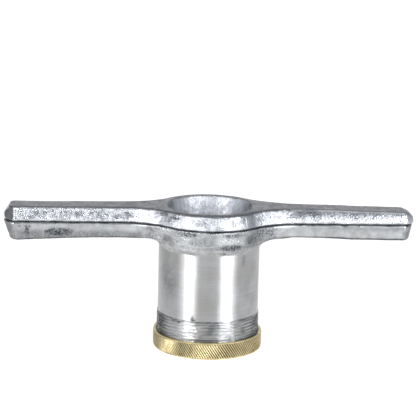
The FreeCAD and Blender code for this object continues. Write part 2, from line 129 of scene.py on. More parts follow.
def make_softbox(name, azimuth, width, colour, low, high, radiance):
    """Upright rectangular light that faces the object, azimuth in degrees right of the front."""
    a = math.radians(azimuth)
    distance = SOFTBOX_DISTANCE
    place = Vector((math.sin(a) * distance, -math.cos(a) * distance, (low + high) / 2))
    data = bpy.data.lights.new(name, "AREA")
    data.shape = "RECTANGLE"
    data.size = width
    data.size_y = high - low
    data.energy = radiance * math.pi * width * (high - low)
    data.color = colour
    light = bpy.data.objects.new(name, data)
    light.location = place
    light.rotation_euler = Vector((-place.x, -place.y, 0)).to_track_quat("-Z", "Z").to_euler()
    bpy.context.scene.collection.objects.link(light)


def make_world():
    """White to the camera, and to the rest a grey studio that is darker above.

    The metal sees more of the white in it: behind the object, and as a ceiling.
    """
    world = bpy.data.worlds.new("world")
    bpy.context.scene.world = world
    world.use_nodes = True
    tree = Tree(world.node_tree)
    direction = tree.add("ShaderNodeTexCoord")
    parts = tree.add("ShaderNodeSeparateXYZ")
    tree.link(direction, "Generated", parts, 0)
    height = tree.ramp((parts, "Z"), 1.0, 0.5, 0.25, 0.7)
    studio = tree.add("ShaderNodeBackground", Color=STUDIO_GREY)
    tree.link(*tree.math("MULTIPLY", height, STUDIO_STRENGTH), studio, "Strength")
    white = tree.add("ShaderNodeBackground", Color=WHITE, Strength=1.0)
    path = tree.add("ShaderNodeLightPath")
    behind = tree.math("MULTIPLY", tree.ramp((parts, "Y"), 0.0, 0.9, 0.3, 0.95), height)
    overhead = tree.ramp((parts, "Z"), 0.0, 0.9, 0.65, 0.95)
    seen = tree.math("MAXIMUM", behind, overhead)
    in_metal = tree.math("MULTIPLY", seen, (path, "Is Glossy Ray"))
    mix = tree.add("ShaderNodeMixShader")
    tree.link(*tree.math("ADD", in_metal, (path, "Is Camera Ray")), mix, 0)
    tree.link(studio, 0, mix, 1)
    tree.link(white, 0, mix, 2)
    out = tree.add("ShaderNodeOutputWorld")
    tree.link(mix, 0, out, 0)


def make_floor():
    """Large pale floor that takes the object's shadow.

    To the camera it glows, least near the object and most far off where little light falls.
    """
    mesh = bpy.data.meshes.new("floor")
    half = FLOOR_HALF
    corners = [(-half, -half, 0), (half, -half, 0), (half, half, 0), (-half, half, 0)]
    mesh.from_pydata(corners, [], [(0, 1, 2, 3)])
    floor = bpy.data.objects.new("floor", mesh)
    bpy.context.scene.collection.objects.link(floor)
    material = bpy.data.materials.new("floor")
    material.use_nodes = True
    tree = Tree(material.node_tree)
    paper = tree.add("ShaderNodeBsdfDiffuse", Color=PAPER)
    glow = tree.add("ShaderNodeEmission", Color=WHITE)
    path = tree.add("ShaderNodeLightPath")
    place = tree.add("ShaderNodeTexCoord")
    distance = tree.add("ShaderNodeVectorMath", "LENGTH")
    tree.link(place, "Object", distance, 0)
    paper_glow = tree.ramp((distance, "Value"), 0.74, 1.0, 0.1, 0.7)
    to_camera = tree.math("MULTIPLY", (path, "Is Camera Ray"), paper_glow)
    to_metal = tree.math("MULTIPLY", (path, "Is Glossy Ray"), FLOOR_IN_METAL)
    tree.link(*tree.math("ADD", to_camera, to_metal), glow, "Strength")
    both = tree.add("ShaderNodeAddShader")
    tree.link(paper, 0, both, 0)
    tree.link(glow, 0, both, 1)
    out = tree.add("ShaderNodeOutputMaterial")
    tree.link(both, 0, out, 0)
    mesh.materials.append(material)


# Node trees


class Tree:
    """A node tree that is emptied, then filled with short calls."""

    def __init__(self, node_tree):
        self.nodes = node_tree.nodes
        self.links = node_tree.links
        self.nodes.clear()

    def add(self, kind, operation=None, **inputs):
        """New node; operation is set where given, and inputs by name."""
        node = self.nodes.new(kind)
        if operation:
            node.operation = operation
        for name, value in inputs.items():
            node.inputs[name].default_value = value
        return node

    def link(self, source, output, target, socket):
        self.links.new(source.outputs[output], target.inputs[socket])

    def math(self, operation, first, second):
        """Math node; each of its inputs is a number or a (node, output) pair."""
        node = self.nodes.new("ShaderNodeMath")
        node.operation = operation
        for socket, given in enumerate((first, second)):
            if isinstance(given, tuple):
                self.link(*given, node, socket)
            else:
                node.inputs[socket].default_value = given
        return (node, 0)

    def ramp(self, source, low, high, from_low=0.0, from_high=1.0):
        """Source's range, smoothly spread from low to high."""
        node = self.nodes.new("ShaderNodeMapRange")
        node.interpolation_type = "SMOOTHSTEP"
        self.link(*source, node, "Value")
        for name, value in (
            ("From Min", from_low), ("From Max", from_high), ("To Min", low), ("To Max", high),
        ):
            node.inputs[name].default_value = value
        return (node, "Result")

    def scaled_place(self, size, stretch, tilt=0.0):
        """Place on the piece at rest in units of size, stretched, and tilted by degrees about Y."""
        place = self.nodes.new("ShaderNodeTexCoord")
        mapping = self.nodes.new("ShaderNodeMapping")
        mapping.vector_type = "TEXTURE"
        mapping.inputs["Rotation"].default_value = (0, math.radians(tilt), 0)
        mapping.inputs["Scale"].default_value = tuple(size * s for s in stretch)
        self.link(place, "Object", mapping, "Vector")
        return (mapping, 0)

    def noise(self, size, detail=2.0, stretch=(1, 1, 1), roughness=0.5, distortion=0.0, tilt=0.0):
        """Noise with features of about size metres, longer along an axis by stretch."""
        node = self.nodes.new("ShaderNodeTexNoise")
        node.inputs["Scale"].default_value = 1.0
        node.inputs["Detail"].default_value = detail
        node.inputs["Roughness"].default_value = roughness
        node.inputs["Distortion"].default_value = distortion
        self.link(*self.scaled_place(size, stretch, tilt), node, "Vector")
        return (node, "Fac")

    def cells(self, size, stretch=(1, 1, 1)):
        """Rounded cells of about size metres, as the distance from each cell's middle."""
        node = self.nodes.new("ShaderNodeTexVoronoi")
        node.feature = "SMOOTH_F1"
        node.inputs["Scale"].default_value = 1.0
        node.inputs["Smoothness"].default_value = 0.4
        self.link(*self.scaled_place(size, stretch), node, "Vector")
        return (node, "Distance")

    def attribute(self, name):
        node = self.nodes.new("ShaderNodeAttribute")
        node.attribute_name = name
        return (node, "Fac")

    def mix_colour(self, factor, first, second):
        """Colour between first and second; each is an RGB triple or a (node, output) pair."""
        node = self.nodes.new("ShaderNodeMix")
        node.data_type = "RGBA"
        colours = [s for s in node.inputs if s.type == "RGBA"]
        self.link(*factor, node, "Factor")
        for socket, given in zip(colours, (first, second), strict=True):
            if isinstance(given[0], bpy.types.Node):
                self.links.new(given[0].outputs[given[1]], socket)
            else:
                socket.default_value = (*given, 1)
        result = next(i for i, s in enumerate(node.outputs) if s.type == "RGBA")
        return (node, result)

    def bump(self, height, distance, below=None):
        """Relief as deep as the distance where height is 1, on top of the one below it."""
        node = self.nodes.new("ShaderNodeBump")
        node.inputs["Strength"].default_value = 1.0
        node.inputs["Distance"].default_value = distance
        self.link(*height, node, "Height")
        if below:
            self.link(*below, node, "Normal")
        return (node, "Normal")


def new_metal(name):
    """Material, its tree and its metallic shader, wired to the output."""
    material = bpy.data.materials.new(name)
    material.use_nodes = True
    tree = Tree(material.node_tree)
    shader = tree.add("ShaderNodeBsdfPrincipled", Metallic=1.0)
    out = tree.add("ShaderNodeOutputMaterial")
    tree.link(shader, 0, out, 0)
    return material, tree, shader


# Materials


# The points of a piece carry values from 0 to 1: stain for dirt broken up into specks, with painted
# shade in some places; shade for even darkening, mostly painted shade; rough for the height of the
# scales; matt for a duller surface, which is also painted paler as painted light.
SPECKS = (0.20, 0.21, 0.24)
# Pale tint, painted in as painted light.
PAINTED_LIGHT_TINT = (0.86, 0.88, 0.93)
# Dark colour of stains, which in places paint shade.
CAST_DIRT_AND_SHADE = (0.05, 0.055, 0.065)
CAST_SHADE = (0.035, 0.037, 0.045)
# Dark colour of the turned surfaces' stains, which paint shade on the barrel's front left.
TURNED_DIRT_AND_SHADE = (0.07, 0.075, 0.085)
BRASS_DIRT = (0.055, 0.038, 0.015)


def cast_aluminium(name, light, dark):
    """Sand-cast and filed aluminium: cloudy from dark to light, with scales and fine strokes."""
    material, tree, shader = new_metal(name)
    rough = tree.attribute("rough")
    clouds = tree.ramp(tree.noise(6 * MM, 4), 0.0, 1.0, 0.35, 0.65)
    colour = tree.mix_colour(clouds, dark, light)
    specks = tree.ramp(tree.noise(0.6 * MM, 3, roughness=0.7), 0.0, 0.9, 0.54, 0.68)
    specks = tree.math("MULTIPLY", specks, tree.ramp(rough, 0.6, 0.5))
    colour = tree.mix_colour(specks, colour, SPECKS)
    # Painted light: where the surface is matt it is also painted paler.
    painted_light = tree.math("MULTIPLY", tree.attribute("matt_and_painted_light"), 0.2)
    colour = tree.mix_colour(painted_light, colour, PAINTED_LIGHT_TINT)
    # Stains, broken up into specks; in places they are painted shade.
    stain_and_shade = tree.math("MULTIPLY", tree.attribute("stain_and_shade"), tree.ramp(
        tree.noise(1.3 * MM, 4, roughness=0.7), 0.25, 1.0, 0.38, 0.6))
    colour = tree.mix_colour(stain_and_shade, colour, CAST_DIRT_AND_SHADE)
    colour = tree.mix_colour(tree.attribute("shade"), colour, CAST_SHADE)
    tree.link(*colour, shader, "Base Color")
    dull = tree.math("ADD", tree.ramp(rough, 0.36, 0.26), tree.ramp(
        tree.noise(2.5 * MM, 3), -0.07, 0.1, 0.35, 0.65))
    dull = tree.math("ADD", dull, tree.math("MULTIPLY", stain_and_shade, 0.3))
    dull = tree.math("ADD", dull, tree.math("MULTIPLY", tree.attribute("matt_and_painted_light"), 0.22))
    tree.link(*dull, shader, "Roughness")
    scales = tree.math("ADD", tree.noise(0.8 * MM, 2, roughness=0.6, distortion=0.8),
                       tree.math("MULTIPLY", tree.cells(0.8 * MM, (1, 1, 1.8)), 0.8))
    scored = tree.noise(0.5 * MM, 2, stretch=(6, 2, 1), tilt=50)
    scales = tree.math("ADD", scales, tree.math("MULTIPLY", scored, 1.3))
    scales = tree.math("MULTIPLY", scales, tree.ramp(rough, 0.1, 1.0))
    relief = tree.bump(scales, 0.17 * MM)
    strokes = tree.noise(0.35 * MM, 2, stretch=(14, 3, 3))
    relief = tree.bump(strokes, 0.025 * MM, below=relief)
    tree.link(*relief, shader, "Normal")
    return material


def turned_aluminium():
    """Turned surfaces: fine rings from the tool, a few blotches, dirt in the thread.

    On the barrel's front left the stains paint shade.
    """
    material, tree, shader = new_metal("turned_aluminium")
    shader.inputs["Anisotropic"].default_value = 1.0
    shader.inputs["Anisotropic Rotation"].default_value = 0.25
    blotches = tree.ramp(tree.noise(14 * MM, 4), 0.0, 1.0, 0.35, 0.65)
    colour = tree.mix_colour(blotches, (0.50, 0.50, 0.50), (0.585, 0.60, 0.62))
    rings = tree.ramp(tree.noise(0.7 * MM, 3, stretch=(60, 60, 1)), 0.0, 1.0, 0.3, 0.7)
    colour = tree.mix_colour(tree.math("MULTIPLY", rings, 0.4), colour, (0.44, 0.44, 0.45))
    dirt_and_shade = tree.math("MULTIPLY", tree.attribute("stain_and_shade"), tree.ramp(
        tree.noise(1.2 * MM, 4, stretch=(2, 2, 1), roughness=0.7), 0.35, 1.0, 0.35, 0.6))
    colour = tree.mix_colour(dirt_and_shade, colour, TURNED_DIRT_AND_SHADE)
    tree.link(*colour, shader, "Base Color")
    dull = tree.math("ADD", tree.ramp(tree.noise(5 * MM, 3), 0.28, 0.34, 0.3, 0.7),
                     tree.math("MULTIPLY", dirt_and_shade, 0.25))
    tree.link(*dull, shader, "Roughness")
    tangent = tree.add("ShaderNodeTangent")
    tangent.direction_type = "RADIAL"
    tangent.axis = "Z"
    tree.link(tangent, 0, shader, "Tangent")
    lines = tree.noise(0.3 * MM, 2, stretch=(200, 200, 1))
    tree.link(*tree.bump(lines, 0.02 * MM), shader, "Normal")
    return material


def dull_brass(name, dirtiness):
    """Cloudy brass with fine scratches, darkened by the dirtiness where it is stained."""
    material, tree, shader = new_metal(name)
    clouds = tree.ramp(tree.noise(7 * MM, 4), 0.0, 1.0, 0.35, 0.65)
    colour = tree.mix_colour(clouds, (0.52, 0.44, 0.25), (0.68, 0.585, 0.35))
    dirt_and_shade = tree.math("MULTIPLY", tree.attribute("stain_and_shade"), dirtiness)
    colour = tree.mix_colour(dirt_and_shade, colour, BRASS_DIRT)
    tree.link(*colour, shader, "Base Color")
    dull = tree.ramp(tree.noise(3 * MM, 3), 0.26, 0.38, 0.3, 0.7)
    tree.link(*dull, shader, "Roughness")
    scratches = tree.noise(0.5 * MM, 3, stretch=(8, 8, 1))
    tree.link(*tree.bump(scratches, 0.02 * MM), shader, "Normal")
    return material


# Noise, and masks from 0 to 1


def lattice_noise(points, size, seed):
    """Smooth noise from -1 to 1 at each point, with features of about size metres."""
    side = 48
    lattice = np.random.default_rng(seed).uniform(-1, 1, (side, side, side))
    scaled = points / size + 1000.0
    cell = np.floor(scaled).astype(int)
    part = scaled - cell
    part = part * part * (3 - 2 * part)
    low = cell % side
    high = (cell + 1) % side
    total = np.zeros(len(points))
    for corner in range(8):
        picks = [(corner >> axis) & 1 for axis in range(3)]
        index = [np.where(pick, high[:, axis], low[:, axis]) for axis, pick in enumerate(picks)]
        weights = [part[:, axis] if pick else 1 - part[:, axis] for axis, pick in enumerate(picks)]
        total += lattice[index[0], index[1], index[2]] * weights[0] * weights[1] * weights[2]
    return total


def step_up(values, low, high):
    """0 below low, 1 above high, smooth between; the other way round if high is under low."""
    t = np.clip((values - low) / (high - low), 0, 1)
    return t * t * (3 - 2 * t)


def between(values, low, high, blend):
    """1 from low to high, falling to 0 a blend beyond them; all three bounds in mm."""
    return step_up(values / MM, low - blend, low) * step_up(values / MM, high + blend, high)


def near(points, centre, reach):
    """1 at a centre, falling to 0 at the reach, each axis with its own."""
    distance = np.linalg.norm((points - np.array(centre) * MM) / (np.array(reach) * MM), axis=1)
    return step_up(distance, 1.0, 0.35)


def front(angle, radius, height):
    """Place in mm at an angle in degrees from the front towards +X."""
    a = math.radians(angle)
    return (radius * math.sin(a), -radius * math.cos(a), height)


def marks(points, table):
    """The strongest mark at each point; a table's row is centre and reach in mm, and strength."""
    return np.maximum.reduce([
        near(points, centre, reach) * strength for centre, reach, strength in table
    ])


# Meshes


def mesh_points(mesh):
    points = np.empty(len(mesh.vertices) * 3)
    mesh.vertices.foreach_get("co", points)
    return points.reshape(-1, 3)


def mesh_normals(mesh):
    normals = np.empty(len(mesh.vertices) * 3, np.float32)
    mesh.vertex_normals.foreach_get("vector", normals)
    return normals.reshape(-1, 3).astype(float)


def set_points(mesh, points):
    mesh.vertices.foreach_set("co", points.astype(np.float32).ravel())
    mesh.update()


def set_attribute(mesh, name, values):
    attribute = mesh.attributes.get(name) or mesh.attributes.new(name, "FLOAT", "POINT")
    attribute.data.foreach_set("value", values.astype(np.float32))


def new_object(name, mesh):
    piece = bpy.data.objects.new(name, mesh)
    bpy.context.scene.collection.objects.link(piece)
    return piece


def welded_copy(node, name):
    """Copy of a CAD node's mesh with its split vertices joined."""
    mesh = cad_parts[node].data.copy()
    weld = bmesh.new()
    weld.from_mesh(mesh)
    bmesh.ops.remove_doubles(weld, verts=weld.verts, dist=1e-6)
    weld.to_mesh(mesh)
    weld.free()
    mesh.materials.clear()
    return new_object(name, mesh)


def apply_modifiers(piece):
    """The piece's mesh with its modifiers applied."""
    graph = bpy.context.evaluated_depsgraph_get()
    made = bpy.data.meshes.new_from_object(piece.evaluated_get(graph), depsgraph=graph)
    old = piece.data
    piece.modifiers.clear()
    piece.data = made
    bpy.data.meshes.remove(old)


def combine(piece, other, operation):
    """Boolean of two closed pieces; the other piece is removed."""
    modifier = piece.modifiers.new("combine", "BOOLEAN")
    modifier.operation = operation
    modifier.solver = "MANIFOLD"
    modifier.object = other
    apply_modifiers(piece)
    bpy.data.objects.remove(other)


def remesh(piece, voxel):
    """Even fine mesh of the piece, drawn back onto its own exact surface."""
    exact = new_object("exact", piece.data.copy())
    even = piece.modifiers.new("even", "REMESH")
    even.mode = "VOXEL"
    even.voxel_size = voxel
    even.adaptivity = 0.0
    shrink = piece.modifiers.new("shrink", "SHRINKWRAP")
    shrink.wrap_method = "NEAREST_SURFACEPOINT"
    shrink.target = exact
    apply_modifiers(piece)
    bpy.data.objects.remove(exact)


def casting(node, name, cut_height, voxel):
    """Fine mesh of the part of a CAD node that is above a height."""
    piece = welded_copy(node, name)
    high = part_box(node)[1]
    margin = 10 * MM
    keep = bpy.data.meshes.new("keep")
    block = bmesh.new()
    bmesh.ops.create_cube(block, size=1.0)
    side = 2 * max(high.x, high.y) + margin
    for corner in block.verts:
        corner.co.x *= side
        corner.co.y *= side
        corner.co.z = high.z + margin if corner.co.z > 0 else cut_height
    block.to_mesh(keep)
    block.free()
    combine(piece, new_object("keep", keep), "INTERSECT")
    remesh(piece, voxel)
    return piece


def smooth_shading(mesh, angle):
    mesh.polygons.foreach_set("use_smooth", [True] * len(mesh.polygons))
    mesh.set_sharp_from_angle(angle=math.radians(angle))


class Shell:
    """Points and faces gathered band by band, then welded into one closed mesh."""

    def __init__(self):
        self.points = []
        self.faces = []
        self.count = 0

    def number(self, points):
        """The points' new numbers, in the same rows and columns."""
        rows = np.arange(self.count, self.count + points[..., 0].size).reshape(points.shape[:-1])
        self.points.append(points.reshape(-1, 3))
        self.count += rows.size
        return rows

    def quads(self, low, low_next, high_next, high):
        faces = np.stack([low, low_next, high_next, high], axis=-1).reshape(-1, 4)
        self.faces.extend(faces.tolist())

    def band(self, points):
        """Closed band through (rows, columns, 3) points."""
        rows = self.number(points)
        after = np.roll(rows, -1, axis=1)
        self.quads(rows[:-1], after[:-1], after[1:], rows[1:])

    def helix(self, points, turn_rows):
        """Band whose rows climb by turn_rows for each turn round."""
        rows = self.number(points)
        self.quads(rows[:-1, :-1], rows[:-1, 1:], rows[1:, 1:], rows[1:, :-1])
        last, first = rows[: len(rows) - turn_rows, -1], rows[turn_rows:, 0]
        self.quads(last[:-1], first[:-1], first[1:], last[1:])

    def washer(self, many, few):
        """Flat ring between two circles, of which many has a whole number of times few's points."""
        many, few = self.number(many), self.number(few)
        ratio = len(many) // len(few)
        for i, point in enumerate(few):
            after = few[(i + 1) % len(few)]
            arc = [many[(i * ratio + step) % len(many)] for step in range(ratio + 1)]
            self.faces.append([int(v) for v in (point, *arc, after)])

    def lid(self, points):
        """Disc that closes a circle."""
        self.faces.append(self.number(points).tolist())

    def made(self, name):
        mesh = bpy.data.meshes.new(name)
        mesh.from_pydata(np.concatenate(self.points), [], self.faces)
        weld = bmesh.new()
        weld.from_mesh(mesh)
        bmesh.ops.remove_doubles(weld, verts=weld.verts, dist=2e-6)
        bmesh.ops.dissolve_degenerate(weld, edges=weld.edges, dist=1e-6)
        bmesh.ops.recalc_face_normals(weld, faces=weld.faces)
        weld.to_mesh(mesh)
        weld.free()
        return new_object(name, mesh)


def columns(count):
    """Even turn angles round Z."""
    return np.arange(count) * 2 * math.pi / count


def circle(radius, height, turn):
    """Points round Z; radius and height are numbers or one for each turn angle."""
    return np.stack([
        radius * np.cos(turn), radius * np.sin(turn), np.broadcast_to(height, turn.shape),
    ], axis=-1)


def section(corners, turn):
    """Band points through (radius, height) corners."""
    return np.stack([circle(radius, height, turn) for radius, height in corners])


def rising(first, last, step):
    """Even heights from first to last, both included, about step apart."""
    return np.linspace(first, last, max(2, round(abs(last - first) / step) + 1))


def helical_places(low, high, turn):
    """Heights of a helical band's rows at each turn angle, and how many rows there are in a turn.

    Rows follow the thread, with one at each corner of its section.
    """
    run = (CREST_R - ROOT_R) * FLANK
    corners = [
        -THREAD_ROOT / 2, THREAD_ROOT / 2, THREAD_ROOT / 2 + run / 2, THREAD_ROOT / 2 + run,
        THREAD_PITCH / 2, THREAD_PITCH - THREAD_ROOT / 2 - run,
        THREAD_PITCH - THREAD_ROOT / 2 - run / 2,
    ]
    turns = np.arange(-2, math.ceil((high - low) / THREAD_PITCH) + 2)
    rows = (turns[:, None] * THREAD_PITCH + np.array(corners)).ravel()
    start = low - low % THREAD_PITCH
    heights = start + rows[:, None] + turn[None, :] * THREAD_PITCH / (2 * math.pi)
    return np.clip(heights, low, high), len(corners)


def thread_depth(turn, heights):
    """How far a thread's flank has risen from its root, at each turn angle and height."""
    phase = heights / THREAD_PITCH - turn / (2 * math.pi)
    offset = np.abs(phase - np.round(phase)) * THREAD_PITCH
    return np.clip((offset - THREAD_ROOT / 2) / FLANK, 0, CREST_R - ROOT_R)


# Castings


GRIP_LINE = 115 * MM  # half length of the line through both grips, to which sides are drawn in
GRIP_HALF_WIDTH = 10.5 * MM


# Barrel


BARREL_CUT = 56 * MM  # above it the barrel is a casting, below it a turned tube
BARREL_VOXEL = 0.615 * MM
SEAM_HEIGHT = 67.6 * MM
COLLAR_FOOT = 68.6 * MM
TUBE_TOP = 69.3 * MM  # the turned wall's end, hidden in the collar
CAST_STAND = 0.14 * MM  # how far the casting stands out from the turned wall at the seam

# Marks in the photograph's places. A row is centre and reach in mm, and strength.
BARREL_PITS = ((front(-39, 34, 71.3), (1.6, 3, 1.2), 0.35),)
# Painted highlights: two places on the collar kept lighter, free of smudges.
BARREL_PAINTED_HIGHLIGHTS = ((front(-33, 34, 74.5), (10, 9, 5)), (front(10, 34, 73.5), (10, 9, 4)))
BARREL_SHADES = (
    ((125, -6, 74), (9, 14, 10), 0.5),
    ((-125, -6, 75), (8, 14, 10), 0.5),
    ((-91, -9.5, 72.6), (13, 7, 3.8), 0.4),
    ((-111, -9.5, 73.0), (1.5, 9, 4.5), 0.3),
    (front(-52, 33, 71), (9, 10, 3.5), 0.35),
    (front(-70, 36, 76.5), (9, 9, 4), 0.25),
    (front(20, 33, 69), (11, 9, 2.6), 0.45),
    (front(48, 33, 73), (9, 10, 8), 0.3),
)
# Stains, and painted shade at the collar's foot and on the turned barrel's front left.
BARREL_STAINS_AND_SHADES = (
    # Painted shade at the collar's foot on the right.
    (front(22, 33, 68.8), (12, 7, 3.0), 1.0),
    (front(12, 32, 65.5), (3, 6, 1.2), 0.7),
    (front(-39, 34, 71.3), (2, 3, 1.4), 0.8),
    (front(-20, 31, 24.4), (3.2, 4, 2.0), 1.0),
    (front(-40, 31, 21.6), (7, 7, 1.8), 0.8),
    (front(-28, 34, 77), (15, 8, 2.6), 0.95),
    (front(22, 34, 76.6), (12, 8, 2.0), 0.8),
    (front(39, 31, 60), (2.0, 4, 4), 0.25),
    # Painted shade: the turned barrel darker on its front left.
    (front(-58, 31, 46), (13, 14, 20), 0.25),
    ((-92.3, -9.5, 72.9), (14, 7, 4.0), 1.0),
    ((-110.9, -9.5, 73.0), (2.2, 9, 5.2), 0.9),
    ((-110.4, -9.5, 76.3), (2.8, 5, 1.5), 1.0),
    ((-115.8, -9.5, 76.3), (1.3, 4, 1.1), 0.9),
)


def seam_height(points):
    """Height at which the turned barrel ends and the rough casting begins."""
    right = points[:, 0] / BARREL_R
    wave = lattice_noise(points * (1, 1, 0), 5 * MM, 21) * 0.5 * MM
    return SEAM_HEIGHT - right * 1.0 * MM + wave


def drawn_in(points, amount):
    """Points moved in mm towards the line through both grips, less inside, and not at the bore."""
    middle = np.clip(points[:, 0], -GRIP_LINE, GRIP_LINE)
    out = np.stack([points[:, 0] - middle, points[:, 1]], axis=1)
    reach = np.maximum(np.linalg.norm(out, axis=1), 0.001 * MM)
    radius = np.hypot(points[:, 0], points[:, 1])
    share = np.minimum(reach / GRIP_HALF_WIDTH, 1)
    share *= step_up(radius, STEM_R + 0.5 * MM, STEM_R + 4 * MM)
    points = points.copy()
    points[:, :2] -= out / reach[:, None] * (amount * share * MM)[:, None]
    return points


def worn_sides(points):
    """How far in mm the upper casting's sides are worn in: the right grip's are rounded."""
    share = np.clip((points[:, 2] - PARTING) / (TOP - PARTING), 0, 1)
    top = np.clip((share - 0.3) / 0.7, 0, 1) ** 2
    rounding = np.clip((share - 0.15) / 0.85, 0, 1) ** 2
    right = step_up(points[:, 0], 32 * MM, 60 * MM)
    return 0.4 * top + 1.9 * right * rounding


def edge_distance(points, normals):
    """Distance of each point from the outer edge of the plunger's top, seen from above."""
    outer = (np.abs(normals[:, 2]) < 0.3) & (points[:, 2] > TOP - 3 * MM)
    outer &= np.hypot(points[:, 0], points[:, 1]) > STEM_R + 1 * MM
    edge = points[outer]
    tree = KDTree(len(edge))
    for number, (x, y, _) in enumerate(edge):
        tree.insert((x, y, 0), number)
    tree.balance()
    return np.array([tree.find((x, y, 0))[2] for x, y, _ in points])


def rounded_tops(points, normals):
    """Points with the top's edge let down, and with the left tip's lower corner cut."""
    front_side = step_up(-points[:, 1], -4 * MM, 4 * MM)
    reach = (1.3 + 1.7 * front_side) * MM
    near_edge = np.clip(1 - edge_distance(points, normals) / reach, 0, 1) ** 2
    share = np.clip((points[:, 2] - PARTING) / (TOP - PARTING), 0, 1)
    corner = step_up(-points[:, 0], 117 * MM, 126 * MM) * np.clip(1 - share / 0.4, 0, 1) ** 2
    points = points.copy()
    points[:, 0] += corner * 1.3 * MM
    points[:, 2] -= share * near_edge * (0.15 + 0.3 * front_side) * MM
    return points


def hanging(points):
    """How far in mm the lower grips' underside hangs: more at both tips than beside the collar."""
    stations = (-126, -45, -30, 45, 50, 70, 85, 126)
    drops = (0.45, 0.45, 0, 0, -0.5, -0.5, 0.15, 0.15)
    return np.interp(points[:, 0] / MM, stations, drops)


def roughened(points, normals, exact, seed, swell):
    """Points of a casting moved along their normals: wavy, scaly on its sides, scored on top.

    By the parting they are drawn in instead, so that the two castings' edges are ragged there.
    """
    top = step_up(normals[:, 2], 0.6, 0.85)
    top *= step_up(points[:, 2], PARTING + 3 * MM, PARTING + 5 * MM)
    wave = lattice_noise(points, 24 * MM, seed) * 0.20
    wave += lattice_noise(points, 9 * MM, seed + 1) * swell
    scales = lattice_noise(points, 2.8 * MM, seed + 2) * 0.04
    scales += lattice_noise(points, 1.5 * MM, seed + 3) * 0.03
    scores = lattice_noise(points * (0.05, 1, 1), 1.1 * MM, seed + 4) * 0.02
    chips = np.minimum(0, lattice_noise(points, 2.2 * MM, seed + 5) + 0.55) * 0.35
    radius = np.hypot(points[:, 0], points[:, 1])
    edge = step_up(np.abs(points[:, 2] - PARTING), 1.4 * MM, 0.2 * MM)
    edge *= radius > STEM_R + 0.3 * MM
    in_cup = step_up(radius, STEM_R, STEM_R - 2 * MM)
    ragged = edge * (0.6 + 0.25 * lattice_noise(points * (1, 1, 0), 3.5 * MM, seed + 6))
    side = (1 - top) * (1 - 0.6 * in_cup)
    under = step_up(-normals[:, 2], 0.3, 0.8) * (points[:, 2] < PARTING - 5 * MM)
    level = 0.15 * top + under * hanging(points) - 0.25
    depth = wave + level + side * (scales + chips) + top * scores
    moved = points + normals * (depth * (1 - np.maximum(exact, edge)) * MM)[:, None]
    moved[:, 2] = np.minimum(moved[:, 2], TOP)
    return drawn_in(moved, ragged)


def turned_tube():
    """Barrel's turned wall: bore, thread and the smooth cylinder, up into the casting."""
    shell = Shell()
    turn = columns(360)
    thread_end = THREAD_TOP + 1.5 * MM
    heights, turn_rows = helical_places(FOOT, thread_end, turn)
    radius = ROOT_R + thread_depth(turn[None, :], heights)
    points = circle(radius, heights, np.broadcast_to(turn, heights.shape))
    wear_and_shade_noise = lattice_noise(points.reshape(-1, 3), 1.3 * MM, 31).reshape(heights.shape)
    coarse = lattice_noise(points.reshape(-1, 3), 6 * MM, 32).reshape(heights.shape)
    runout = step_up(heights, THREAD_TOP + coarse * 0.8 * MM, thread_end)
    radius = radius - 0.09 * MM * (wear_and_shade_noise + 1) * (radius > BARREL_R)
    shown = step_up(heights, FOOT + 7 * MM, FOOT + 9 * MM)
    crest = CREST_R - 0.15 * MM * (coarse + 1) * shown
    filled = ROOT_R + (0.45 + 0.2 * coarse + 0.12 * wear_and_shade_noise) * MM * shown
    radius = np.clip(radius, filled, crest)
    radius = radius * (1 - runout) + BARREL_R * runout
    radius = np.minimum(radius, CREST_R - THREAD_LEAD + (heights - FOOT))
    shell.helix(circle(radius, heights, np.broadcast_to(turn, heights.shape)), turn_rows)
    smooth = rising(thread_end, TUBE_TOP, 2 * MM)
    shell.band(section([(BARREL_R, height) for height in smooth], turn))
    inset = BORE_R + 1.2 * MM
    joint = BARREL_CUT + 0.5 * MM
    bore = BORE_R - 0.005 * MM
    shell.band(section([
        (BARREL_R, smooth[-1]), (BARREL_R - 0.6 * MM, smooth[-1] + 0.5 * MM),
        (inset, smooth[-1] + 0.5 * MM), (inset, joint + 0.3 * MM), (bore, joint),
        *((bore, height) for height in rising(joint - 2 * MM, FOOT + LEAD_IN, 6 * MM)),
        (BORE_R + LEAD_IN, FOOT), (CREST_R - THREAD_LEAD, FOOT),
    ], turn))
    return shell.made("turned_tube")


def make_barrel(cast, turned):
    """Rough casting with a seam at its foot, joined to the turned tube."""
    piece = casting("barrel", "barrel_body", BARREL_CUT, BARREL_VOXEL)
    mesh = piece.data
    points = mesh_points(mesh)
    normals = mesh_normals(mesh)
    radius = np.hypot(points[:, 0], points[:, 1])
    height = points[:, 2]
    in_bore = radius < BORE_R + 0.4 * MM
    on_top = height > PARTING - 0.05 * MM
    exact = in_bore.astype(float)
    wall = (radius < BARREL_R + 0.1 * MM) & ~in_bore
    swell = 0.1 + 0.2 * step_up(np.abs(points[:, 0]), 46 * MM, 34 * MM)
    points = roughened(points, normals, exact, 40, swell)
    points[on_top, 2] = PARTING
    seam = step_up(height - seam_height(points), -0.15 * MM, 0.35 * MM)
    cast_radius = radius + (CAST_STAND + 0.1 * MM + 0.05 * MM * lattice_noise(points, 2 * MM, 25))
    wanted = np.where(wall, (BARREL_R - 0.7 * MM) * (1 - seam) + cast_radius * seam, 0)
    wanted = np.where(in_bore, BORE_R, wanted)
    flat = np.hypot(points[:, 0], points[:, 1])
    scale = np.where(wanted > 0, wanted / flat, 1.0)
    points[:, 0] *= scale
    points[:, 1] *= scale
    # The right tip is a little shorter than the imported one.
    points[:, 0] -= step_up(points[:, 0], 119 * MM, 126 * MM) * 0.9 * MM
    pits = marks(points, BARREL_PITS)
    set_points(mesh, points - normals * (pits * MM)[:, None])
    combine(piece, turned_tube(), "UNION")
    finish_barrel(piece, cast, turned)


